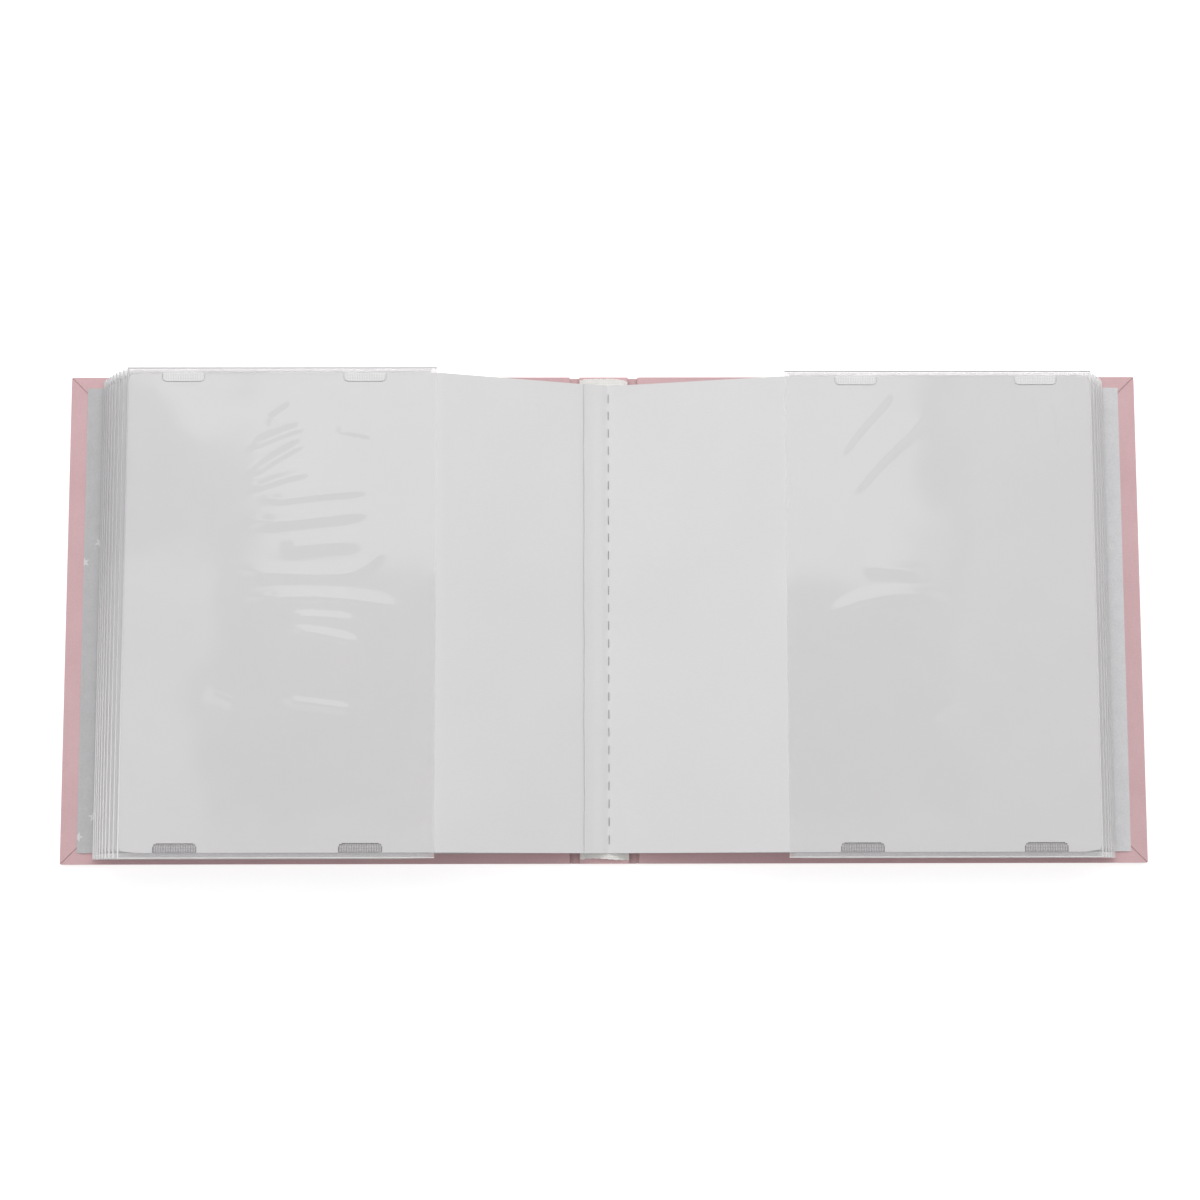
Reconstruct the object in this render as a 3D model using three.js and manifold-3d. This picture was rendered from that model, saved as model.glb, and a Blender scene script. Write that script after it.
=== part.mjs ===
// A small photo album that lies open: a pink case cover, fifteen card leaves with film
// pockets, and a sewn spine. Millimetres, +X to the right page, +Y to the head, +Z up.
// The origin is the middle of the spine's underside.
import * as THREE from "three";
import { mergeVertices } from "three/addons/utils/BufferGeometryUtils.js";
import Module from "manifold-3d";

const wasm = await Module();
wasm.setup();

// Case cover: two boards and a spine board in one wrap of covering paper.
const OPEN_WIDTH = 364; // over both covers, lying flat
const COVER_HEIGHT = 165.8; // head to tail
const WRAP = 0.3; // covering paper
const BOARD = 1.8; // board thickness
const CORNER_R = 0.5; // outer corners of the covers
const SPINE_HALF = 8.6; // half of the wrapped spine board
const SPINE_CLEAR = 0.2; // spine board to a cover folded up beside it
const FOLD_GAP = 0.2; // each side of the fold line
const BOARD_GAP = 0.55; // fold line to a cover board
const HALF_HEIGHT = COVER_HEIGHT / 2;
const HALF_WIDTH = OPEN_WIDTH / 2;
const COVER_TOP = WRAP + BOARD + WRAP; // top of the turned-in covering
const HINGE_Z = WRAP / 2; // the fold lies in the middle of the covering paper
const HINGE_X = SPINE_HALF + SPINE_CLEAR + COVER_TOP - HINGE_Z; // fold beside the spine
const BOARD_START = HINGE_X + BOARD_GAP; // inner edge of a cover board

// Turned-in strips of covering round the inside of each cover.
const TURN_IN_FORE = 5.6; // seen outside the endpaper at the fore-edge
const TURN_IN_ENDS = 3.8; // seen outside the endpaper at head and tail
const TURN_IN_HIDDEN = 7; // runs on under the endpaper
const SPINE_TURN_IN = 5; // over the spine board's head and tail
const MITRE_WIDTH = 0.25; // the seam where two turned-in strips meet
const MITRE_DEPTH = 0.12;

// Endpapers: one is pasted down, one lies loose over it.
const PAPER = 0.2;
const PASTE_GAP = 0.8; // board's inner edge to the endpapers
const PASTE_START = BOARD_START + PASTE_GAP;
const FLY_LIFT = 0.05; // between the pasted and the loose endpaper
const FLY_SHORT = 1.2; // the loose one ends this much earlier at the fore-edge
const FLY_CLIP = 2.8; // its clipped corner at the head
const FLY_CREASE = 1.5; // where the two are one paper, beside the spine
const FLY_TOP = COVER_TOP + PAPER + FLY_LIFT + PAPER;

// Leaves: a card with a bare strip beside the spine and a film pocket on the rest.
const LEFT_LEAVES = 9;
const RIGHT_LEAVES = 6;
const CARD = 0.3;
const END_SQUARE = 3.45; // cover beyond the cards at head and tail
const FORE_SQUARE = 4.55; // and at the fore-edge, with the album shut
const STRIP = 60; // sewn edge to the pocket
const EDGE_SIDES = 12; // of the rounded sewn edge
const CREASE_GAP = 0.05; // each side of the crease between strip and pocket
const CARD_CORNER_R = 1.5;
const CURVE_SEGMENTS = 2; // in each quarter of a rounded corner, twice as many steps
const FILM = 0.1;
const FILM_LIP = 1.8; // film beyond the card at head and tail
const FILM_SPACE = 0.15; // room for a print between card and film
const FILM_START = 0.4; // from the crease to the film's open edge
const FOLD_SPACE = 0.5; // card's fore-edge to the folded film
const CARD_HEIGHT = COVER_HEIGHT - 2 * END_SQUARE;
const FILM_HEIGHT = CARD_HEIGHT + 2 * FILM_LIP;
const LEAF_HALF = CARD / 2 + FILM_SPACE + FILM; // half of a leaf's thickness at its pocket

// Where the leaves sit on the spine, and how high they lie when the album is open.
const LEAF_CLEAR = 0.55; // outermost leaf to the loose endpaper, with the album shut
const THREAD_PITCH = 1.2; // between the two leaves beside the thread
const HINGE_LIFT = 0.65; // outermost sewn edge above the turned-in covering
const HINGE_RISE = 1.2; // the middle ones stand this much higher
const HINGE_SEAT = 0.25; // sewn edge's middle line above the lining
const LOWEST_LIFT = 1.15; // lowest pocket above the loose endpaper
const LEFT_STACK = 21.6; // lowest to uppermost pocket on the left
const RIGHT_STACK = 15.6; // and on the right
const HINGE_LOW = COVER_TOP + HINGE_LIFT;
const LEAF_EDGE_X = HINGE_X - (FLY_TOP - HINGE_Z) - LEAF_CLEAR - LEAF_HALF;
const LOWEST_Z = FLY_TOP + LOWEST_LIFT;
const COVER_REACH = HALF_WIDTH - HINGE_X + HINGE_Z; // height of a cover stood up
const POCKET = COVER_REACH - FORE_SQUARE - HINGE_LOW - STRIP; // to the film's fold

// Weld windows: notches in the card where both films are welded together.
const NOTCH_WIDTH = 14.3;
const NOTCH_DEPTH = 3.1;
const NOTCH_R = 1;
const NOTCH_FIRST = 17.25 + NOTCH_WIDTH / 2; // crease to the first window's middle
const NOTCH_LAST = 11.65 + NOTCH_WIDTH / 2; // second window's middle to the fore-edge
const NOTCH_SPACING = POCKET - NOTCH_FIRST - NOTCH_LAST;
const WELD_CLEAR = 0.3; // weld to the notch's sides
const WELD_WALL = 0.4; // film round the dipped weld
const WELD_DIP = 0.07; // weld's face below the film's face
const BEYOND = 1; // how far a cutting block reaches past what it cuts

// Lining on the spine board, and the thread that sews through it.
const LINING_EDGE = 0.4; // from the wrapped board's long sides
const LINING_HALF = SPINE_HALF - LINING_EDGE;
const LINING_SHORT = 1.5; // from the cover's head and tail
const THREAD_R = 0.3;
const THREAD_HOLE_R = 0.45;
const THREAD_CLEAR = 0.02;
const THREAD_SIDES = 6;
const ARCH_STEPS = 16;
const STITCHES = 26;
const STITCH_MARGIN = 1.45; // card beyond the first and last stitch spaces
const STITCH_SHARE = 0.47; // part of each space that the thread lies on top
const STITCH_BEND = 0.4;
const CHANNEL_END = 0.4; // channel beyond the last hole
const BEND_STEPS = 2;
const STITCH_PITCH = (CARD_HEIGHT - 2 * STITCH_MARGIN) / STITCHES;
const STITCH_LENGTH = STITCH_PITCH * STITCH_SHARE;

// The narrow stub of card folded over the thread onto the left page.
const STUB_START = 1;
const STUB_WIDTH = 7.3;

// A block between two corners, with its faces exactly where they are asked for.
function box(x0, x1, y0, y1, z0, z1) {
  const geometry = new THREE.BoxGeometry(1, 1, 1);
  const position = geometry.attributes.position;
  for (let n = 0; n < position.count; n++) {
    const x = position.getX(n) > 0 ? x1 : x0;
    const y = position.getY(n) > 0 ? y1 : y0;
    const z = position.getZ(n) > 0 ? z1 : z0;
    position.setXYZ(n, x, y, z);
  }
  return geometry;
}

// An outline extruded between two heights.
function slab(outline, z0, z1) {
  const settings = { depth: 1, bevelEnabled: false, curveSegments: CURVE_SEGMENTS };
  const geometry = new THREE.ExtrudeGeometry(outline, settings);
  const position = geometry.attributes.position;
  for (let n = 0; n < position.count; n++) {
    position.setZ(n, position.getZ(n) > 0 ? z1 : z0);
  }
  return geometry;
}

// A rectangle with its two corners at +X rounded.
function roundedOutline(x0, x1, y0, y1, radius) {
  const quarter = Math.PI / 2;
  return new THREE.Shape()
    .absarc(x1 - radius, y0 + radius, radius, -quarter, 0)
    .absarc(x1 - radius, y1 - radius, radius, 0, quarter)
    .lineTo(x0, y1)
    .lineTo(x0, y0);
}

// A closed geometry as a solid that can be cut and joined.
function solid(geometry) {
  geometry.deleteAttribute("normal");
  geometry.deleteAttribute("uv");
  const merged = mergeVertices(geometry);
  const mesh = new wasm.Mesh({
    numProp: 3,
    vertProperties: merged.attributes.position.array,
    triVerts: new Uint32Array(merged.index.array),
  });
  return new wasm.Manifold(mesh);
}

// A finished solid as a geometry again.
function finished(shape) {
  const { vertProperties, triVerts } = shape.getMesh();
  const geometry = new THREE.BufferGeometry();
  geometry.setAttribute("position", new THREE.BufferAttribute(vertProperties, 3));
  geometry.setIndex(new THREE.BufferAttribute(triVerts, 1));
  return geometry;
}

// Covers, built for the right-hand side.
function coverBoard() {
  const [x1, y1] = [HALF_WIDTH - WRAP, HALF_HEIGHT - WRAP];
  const outline = roundedOutline(BOARD_START, x1, -y1, y1, CORNER_R - WRAP);
  return solid(slab(outline, WRAP, WRAP + BOARD));
}

// The opening inside the turned-in strips, from any inner edge and of any height.
function turnInOpening(x0, z0, z1) {
  const x1 = HALF_WIDTH - TURN_IN_FORE - TURN_IN_HIDDEN;
  const y1 = HALF_HEIGHT - TURN_IN_ENDS - TURN_IN_HIDDEN;
  return solid(box(x0, x1, -y1, y1, z0, z1));
}

function coverWrap() {
  const [x1, y1] = [HALF_WIDTH, HALF_HEIGHT];
  const outline = roundedOutline(BOARD_START, x1, -y1, y1, CORNER_R);
  const joint = box(HINGE_X + FOLD_GAP, BOARD_START + BEYOND, -y1, y1, 0, WRAP);
  let wrap = solid(slab(outline, 0, COVER_TOP)).add(solid(joint)).subtract(coverBoard());
  wrap = wrap.subtract(turnInOpening(BOARD_START - BEYOND, WRAP + BOARD, COVER_TOP + BEYOND));
  for (const end of [-1, 1]) {
    const reach = (TURN_IN_FORE + TURN_IN_HIDDEN) * Math.SQRT2;
    const seam = box(0, reach, -MITRE_WIDTH / 2, MITRE_WIDTH / 2, -MITRE_DEPTH, BEYOND)
      .rotateZ(Math.PI * (1 + end / 4))
      .translate(x1, end * y1, COVER_TOP);
    wrap = wrap.subtract(solid(seam));
  }
  return wrap;
}

function pastedown() {
  const [x1, y1] = [HALF_WIDTH - TURN_IN_FORE, HALF_HEIGHT - TURN_IN_ENDS];
  const sheet = solid(box(PASTE_START, x1, -y1, y1, COVER_TOP, COVER_TOP + PAPER));
  return sheet.add(turnInOpening(PASTE_START, WRAP + BOARD, COVER_TOP));
}

// The loose endpaper's corner is clipped at the end that is given, 1 or -1.
function flyleaf(end) {
  const x1 = HALF_WIDTH - TURN_IN_FORE - FLY_SHORT;
  const y1 = HALF_HEIGHT - TURN_IN_ENDS;
  const outline = new THREE.Shape()
    .moveTo(PASTE_START, -end * y1)
    .lineTo(x1, -end * y1)
    .lineTo(x1, end * (y1 - FLY_CLIP))
    .lineTo(x1 - FLY_CLIP, end * y1)
    .lineTo(PASTE_START, end * y1);
  // a crease strip joins the loose sheet to the pasted one beside the spine
  const crease = box(PASTE_START, PASTE_START + FLY_CREASE, -y1, y1, COVER_TOP + PAPER, FLY_TOP);
  return solid(slab(outline, COVER_TOP + PAPER + FLY_LIFT, FLY_TOP)).add(solid(crease));
}

// Spine: board, wrap and lining.
function spineBoard() {
  const [x1, y1] = [SPINE_HALF - WRAP, HALF_HEIGHT - WRAP];
  return solid(box(-x1, x1, -y1, y1, WRAP, WRAP + BOARD));
}

function spineWrap() {
  const [x1, y1] = [SPINE_HALF - WRAP, HALF_HEIGHT];
  const [skinX, stripY] = [HINGE_X - FOLD_GAP, HALF_HEIGHT - SPINE_TURN_IN];
  const skin = solid(box(-skinX, skinX, -y1, y1, 0, WRAP));
  const strips = solid(box(-x1, x1, -y1, y1, 0, COVER_TOP));
  const between = box(-x1 - BEYOND, x1 + BEYOND, -stripY, stripY, WRAP, COVER_TOP + BEYOND);
  return skin.add(strips.subtract(solid(between))).subtract(spineBoard());
}

// Height of a sewn edge that stands at x on the arched lining.
function sewnHeight(x) {
  return HINGE_LOW + HINGE_RISE * (1 - (x / LEAF_EDGE_X) ** 2);
}

function sewnPlaces() {
  const count = LEFT_LEAVES + RIGHT_LEAVES;
  const pitch = (2 * LEAF_EDGE_X - THREAD_PITCH) / (count - 2);
  const places = [];
  for (let n = 0; n < count; n++) {
    const left = n < LEFT_LEAVES;
    const x = left ? -LEAF_EDGE_X + n * pitch : LEAF_EDGE_X - (count - 1 - n) * pitch;
    const stack = left ? LEFT_LEAVES : RIGHT_LEAVES;
    const level = left ? n : count - 1 - n;
    const rise = left ? LEFT_STACK : RIGHT_STACK;
    const flat = LOWEST_Z + (level / (stack - 1)) * rise;
    const z = sewnHeight(x);
    places.push({ left, x, z, flat, slope: Math.asin((flat - z) / STRIP) });
  }
  return places;
}

const PLACES = sewnPlaces();
const THREAD_X = (PLACES[LEFT_LEAVES - 1].x + PLACES[LEFT_LEAVES].x) / 2;
const LINING_TOP = sewnHeight(THREAD_X) - HINGE_SEAT;
const THREAD_HIGH = LINING_TOP + THREAD_R + THREAD_CLEAR;
const THREAD_LOW = WRAP + BOARD + THREAD_R + THREAD_CLEAR;

function stitchMiddle(n) {
  return (n - (STITCHES - 1) / 2) * STITCH_PITCH;
}

function spineLining() {
  const half = HALF_HEIGHT - LINING_SHORT;
  const outline = new THREE.Shape().moveTo(-LINING_HALF, COVER_TOP);
  for (let n = 0; n <= ARCH_STEPS; n++) {
    const x = ((2 * n) / ARCH_STEPS - 1) * LINING_HALF;
    outline.lineTo(x, sewnHeight(x) - HINGE_SEAT);
  }
  outline.lineTo(LINING_HALF, COVER_TOP);
  // drawn in x and z, then stood up along the spine
  const arch = slab(outline, -half, half).rotateX(Math.PI / 2);
  const reach = HALF_HEIGHT - SPINE_TURN_IN;
  const filler = box(-LINING_HALF, LINING_HALF, -reach, reach, WRAP + BOARD, COVER_TOP);
  let lining = solid(arch).add(solid(filler));
  // the channel that the thread runs in under the lining, and a hole at each stitch end
  const end = stitchMiddle(STITCHES - 1) + STITCH_LENGTH / 2 + THREAD_HOLE_R + CHANNEL_END;
  const [x0, x1] = [THREAD_X - THREAD_HOLE_R, THREAD_X + THREAD_HOLE_R];
  const floor = WRAP + BOARD - BEYOND;
  const roof = THREAD_LOW + THREAD_HOLE_R;
  lining = lining.subtract(solid(box(x0, x1, -end, end, floor, roof)));
  const height = LINING_TOP - roof + 2 * BEYOND;
  for (let n = 0; n < STITCHES; n++) {
    for (const side of [-1, 1]) {
      const y = stitchMiddle(n) + (side * STITCH_LENGTH) / 2;
      const hole = new THREE.CylinderGeometry(THREAD_HOLE_R, THREAD_HOLE_R, height, THREAD_SIDES)
        .rotateX(Math.PI / 2)
        .translate(THREAD_X, y, roof - BEYOND + height / 2);
      lining = lining.subtract(solid(hole));
    }
  }
  return lining;
}

// Running stitch: over the lining, down, along its underside and up again, in one thread.
function threadPoints() {
  const points = [];
  const bend = (y, z, dy, dz, away) => {
    // a rounded corner at (y, z), turning between along the spine and across it
    for (let n = 0; n <= BEND_STEPS; n++) {
      const a = (n / BEND_STEPS) * (Math.PI / 2);
      const along = STITCH_BEND * (1 - Math.sin(a));
      const across = STITCH_BEND * (1 - Math.cos(a));
      points.push(new THREE.Vector3(THREAD_X, y + dy * along, z + dz * across));
    }
    if (away) {
      const turned = points.splice(-BEND_STEPS - 1).reverse();
      points.push(...turned);
    }
  };
  for (let n = 0; n < STITCHES; n++) {
    const [y0, y1] = [-1, 1].map((s) => stitchMiddle(n) + (s * STITCH_LENGTH) / 2);
    if (n > 0) {
      bend(y0, THREAD_LOW, -1, 1, false);
    } else {
      points.push(new THREE.Vector3(THREAD_X, y0, THREAD_LOW));
    }
    bend(y0, THREAD_HIGH, 1, -1, true);
    bend(y1, THREAD_HIGH, -1, -1, false);
    if (n < STITCHES - 1) {
      bend(y1, THREAD_LOW, 1, 1, true);
    } else {
      points.push(new THREE.Vector3(THREAD_X, y1, THREAD_LOW));
    }
  }
  return points;
}

// A line through points, which a sweep follows with one step to each of them.
class PointLine extends THREE.Curve {
  constructor(points) {
    super();
    this.points = points;
  }

  getPoint(t, target = new THREE.Vector3()) {
    const last = this.points.length - 1;
    const n = Math.min(Math.floor(t * last), last - 1);
    return target.lerpVectors(this.points[n], this.points[n + 1], t * last - n);
  }

  getUtoTmapping(u) {
    return u;
  }
}

function thread() {
  const points = threadPoints();
  const corners = [];
  for (let n = 0; n < THREAD_SIDES; n++) {
    const a = (n / THREAD_SIDES) * 2 * Math.PI;
    corners.push(new THREE.Vector2(THREAD_R * Math.cos(a), THREAD_R * Math.sin(a)));
  }
  const section = new THREE.Shape(corners);
  const extrudePath = new PointLine(points);
  return solid(new THREE.ExtrudeGeometry(section, { steps: points.length - 1, extrudePath }));
}

// Leaves, built for the right-hand side with the sewn edge at x = 0 and the leaf along +X.
function stripCard() {
  const y1 = CARD_HEIGHT / 2;
  const flat = box(0, STRIP - CREASE_GAP, -y1, y1, -CARD / 2, CARD / 2);
  const edge = new THREE.CylinderGeometry(CARD / 2, CARD / 2, CARD_HEIGHT, EDGE_SIDES);
  return solid(flat).add(solid(edge));
}

function stub() {
  const y1 = CARD_HEIGHT / 2;
  return solid(box(STUB_START, STUB_START + STUB_WIDTH, -y1, y1, CARD / 2, CARD * 1.5));
}

// The middles of a leaf's four weld windows: x from the crease, and the end they are at.
function windowMiddles() {
  const xs = [NOTCH_FIRST, NOTCH_FIRST + NOTCH_SPACING];
  return [-1, 1].flatMap((end) => xs.map((x) => ({ x, end })));
}

function pocketCard() {
  const [x1, y1] = [POCKET - FILM - FOLD_SPACE, CARD_HEIGHT / 2];
  const outline = roundedOutline(CREASE_GAP, x1, -y1, y1, CARD_CORNER_R);
  let card = solid(slab(outline, -CARD / 2, CARD / 2));
  const half = NOTCH_WIDTH / 2;
  for (const { x, end } of windowMiddles()) {
    const notch = slab(
      roundedOutline(-BEYOND, NOTCH_DEPTH, -half, half, NOTCH_R),
      -BEYOND,
      BEYOND,
    );
    notch.rotateZ((-end * Math.PI) / 2).translate(x, end * y1, 0);
    card = card.subtract(solid(notch));
  }
  return card;
}

// The film is folded round the card's fore-edge and left open towards the spine. At each
// notch both films dip and meet in a weld.
function filmSleeve() {
  const y1 = FILM_HEIGHT / 2;
  const room = CARD / 2 + FILM_SPACE;
  const dip = LEAF_HALF - WELD_DIP;
  const outside = box(FILM_START, POCKET, -y1, y1, -LEAF_HALF, LEAF_HALF);
  const inside = box(FILM_START - BEYOND, POCKET - FILM, -y1 - BEYOND, y1 + BEYOND, -room, room);
  let sleeve = solid(outside).subtract(solid(inside));
  const half = NOTCH_WIDTH / 2 - WELD_CLEAR;
  const [low, high] = [CARD_HEIGHT / 2 - NOTCH_DEPTH + WELD_CLEAR, CARD_HEIGHT / 2];
  for (const { x, end } of windowMiddles()) {
    // a block over the window, drawn in from its sides, of a height to each side of the card
    const block = (inset, height) => {
      const ys = [end * (low + inset), end * (high - inset)].sort((a, b) => a - b);
      return solid(box(x - half + inset, x + half - inset, ...ys, -height, height));
    };
    sleeve = sleeve.add(block(0, dip));
    sleeve = sleeve.subtract(block(WELD_WALL, BEYOND)).add(block(WELD_WALL, dip));
  }
  return sleeve;
}

const LOOKS = {
  pink: [0xd8a9b0, 0.6],
  board: [0xb9a78c, 0.9],
  endpaper: [0xc4c2c6, 0.85],
  card: [0xd9d8db, 0.8],
  film: [0xe6e8ec, 0.2],
  lining: [0xeceae4, 0.9],
  thread: [0xf2f0ea, 0.8],
};

function meshOf(name, shape, look) {
  const [color, roughness] = LOOKS[look];
  const settings = { name, color, roughness, metalness: 0, flatShading: true };
  const mesh = new THREE.Mesh(finished(shape), new THREE.MeshStandardMaterial(settings));
  mesh.name = name;
  return mesh;
}

// The left-hand half is the right-hand one turned round by half a turn.
function handedGroup(left) {
  const group = new THREE.Group();
  group.rotation.z = left ? Math.PI : 0;
  return group;
}

function cover(side, left) {
  return handedGroup(left).add(
    meshOf(`${side}_cover_board`, coverBoard(), "board"),
    meshOf(`${side}_cover_wrap`, coverWrap(), "pink"),
    meshOf(`${side}_pastedown`, pastedown(), "endpaper"),
    meshOf(`${side}_flyleaf`, flyleaf(left ? -1 : 1), "endpaper"),
  );
}

function spine() {
  return new THREE.Group().add(
    meshOf("spine_board", spineBoard(), "board"),
    meshOf("spine_wrap", spineWrap(), "pink"),
    meshOf("spine_lining", spineLining(), "lining"),
    meshOf("sewing_thread", thread(), "thread"),
  );
}

// A leaf stands on its sewn edge: the strip at its slope, the pocket level from the crease on.
function leaf(place, n) {
  const name = `leaf_${String(n + 1).padStart(2, "0")}`;
  const strip = new THREE.Group().add(meshOf(`${name}_strip_card`, stripCard(), "card"));
  if (n === LEFT_LEAVES - 1) {
    strip.add(meshOf("centre_fold_stub", stub(), "card"));
  }
  strip.rotation.y = -place.slope;
  const pocket = new THREE.Group().add(
    meshOf(`${name}_pocket_card`, pocketCard(), "card"),
    meshOf(`${name}_film_sleeve`, filmSleeve(), "film"),
  );
  pocket.position.set(STRIP * Math.cos(place.slope), 0, place.flat - place.z);
  const group = handedGroup(place.left).add(strip, pocket);
  group.position.set(place.x, 0, place.z);
  return group;
}

const album = new THREE.Group();
album.name = "baby_photo_album";
album.add(cover("front", true), cover("back", false), spine(), ...PLACES.map(leaf));

export default album;
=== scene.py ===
"""A small pink photo album lying open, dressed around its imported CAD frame."""
import math

import bmesh
import bpy
import numpy as np
from mathutils import Matrix, Vector


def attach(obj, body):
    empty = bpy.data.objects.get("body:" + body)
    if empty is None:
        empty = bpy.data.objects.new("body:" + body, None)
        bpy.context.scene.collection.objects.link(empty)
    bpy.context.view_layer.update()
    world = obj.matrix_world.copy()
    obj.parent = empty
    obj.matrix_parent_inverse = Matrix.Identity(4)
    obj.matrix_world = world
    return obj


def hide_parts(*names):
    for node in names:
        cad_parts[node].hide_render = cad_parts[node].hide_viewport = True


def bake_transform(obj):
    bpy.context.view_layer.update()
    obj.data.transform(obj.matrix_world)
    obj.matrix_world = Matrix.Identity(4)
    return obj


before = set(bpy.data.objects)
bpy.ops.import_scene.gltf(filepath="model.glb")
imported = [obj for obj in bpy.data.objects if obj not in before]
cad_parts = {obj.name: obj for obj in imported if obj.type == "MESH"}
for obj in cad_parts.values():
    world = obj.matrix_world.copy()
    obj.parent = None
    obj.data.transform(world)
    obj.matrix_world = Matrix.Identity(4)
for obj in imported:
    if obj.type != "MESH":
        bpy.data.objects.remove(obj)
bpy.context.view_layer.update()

# Shapes are worked out in millimetres, materials and lights in metres.
MM = 0.001

# Sizes of the CAD part, in millimetres
HALF_WIDTH = 182.0
HALF_HEIGHT = 82.9
TURN_IN_FORE = 5.6
COVER_TOP = 2.4
LEFT_LEAVES = 9
RIGHT_LEAVES = 6
LEAF_EDGE_X = 7.4
THREAD_PITCH = 1.2
HINGE_LOW = 3.05
HINGE_RISE = 1.2
HINGE_SEAT = 0.25
LINING_HALF_WIDTH = 8.2
LOWEST_Z = 4.0
LEFT_STACK = 21.6
RIGHT_STACK = 15.6
STRIP = 60.0
POCKET = 103.5
CARD = 0.3
CARD_HALF = 79.45
CARD_SHORT = 0.6
FILM_START = 0.4
FILM_HALF = 81.25
NOTCH_WIDTH = 14.3
NOTCH_DEPTH = 3.1
NOTCH_MIDDLES = (24.4, 84.7)
STUB_END = 8.3

# Sizes of the finish, in millimetres
COVER_EDGE = 0.05  # a cover's edges are rounded by this much
SPINE_EDGE = 0.12  # and the spine's edges by this much
BEND = 2.5  # the crease is rounded over this length on each side
CORNER = 1.5  # size of the card's rounded outer corners
CORNER_SHIFT = 0.44  # how far their points move in, as a share of that size
NOTCH_STEPS = (0.35, 1.1)  # two steps that round a notch's inner corners
FOLD_REACH = 3.0  # the first right card comes out of the fold over this length
FILM_GAP = 0.37  # from the middle of the card to the film over and under it
FOLD_START = 0.5  # the film turns over this far before the pocket's end
FOLD_BULGE = 0.42  # and stands out by this much
RIM = 0.3  # width of the film's cut edges
PINCH = 1.8  # at head and tail the two films draw together over this length
WELD_HALF_WIDTH = 6.9
WELD_DEPTH = 2.85
WELD_RIBS = 17
OPENING_HALF_WIDTH = 6.85  # the film is left out under a weld, a little inside its edges
OPENING_DEPTH = 2.8

# The endpapers' pattern of stars, in metres
STAR_COLUMN = 0.01
STAR_ROW = 0.00662
STAR_RADIUS = 0.0018

rng = np.random.default_rng(7)


def sewn_height(x):
    """Height of a sewn edge that stands at x on the arched lining."""
    return HINGE_LOW + HINGE_RISE * (1 - (x / LEAF_EDGE_X) ** 2)


def leaf_places():
    """Where each leaf is sewn, how high its pocket lies and how steep its strip is."""
    count = LEFT_LEAVES + RIGHT_LEAVES
    pitch = (2 * LEAF_EDGE_X - THREAD_PITCH) / (count - 2)
    places = []
    for n in range(count):
        left = n < LEFT_LEAVES
        x = -LEAF_EDGE_X + n * pitch if left else LEAF_EDGE_X - (count - 1 - n) * pitch
        level = n if left else count - 1 - n
        stack = LEFT_LEAVES if left else RIGHT_LEAVES
        flat = LOWEST_Z + level / (stack - 1) * (LEFT_STACK if left else RIGHT_STACK)
        z = sewn_height(x)
        places.append(
            {
                "name": f"leaf_{n + 1:02d}",
                "side": -1 if left else 1,
                "x": x,
                "z": z,
                "flat": flat,
                "slope": math.asin((flat - z) / STRIP),
                "top": level == stack - 1,
                "level": level,
            }
        )
    return places


def crease_x(place):
    """Where a leaf's crease lies between strip and pocket."""
    return place["x"] + place["side"] * STRIP * math.cos(place["slope"])


PLACES = leaf_places()
STUB_LEAF = PLACES[LEFT_LEAVES - 1]
FIRST_RIGHT = PLACES[LEFT_LEAVES]
THREAD_X = (STUB_LEAF["x"] + FIRST_RIGHT["x"]) / 2
LINING_TOP = sewn_height(THREAD_X) - HINGE_SEAT


# Materials


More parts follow.
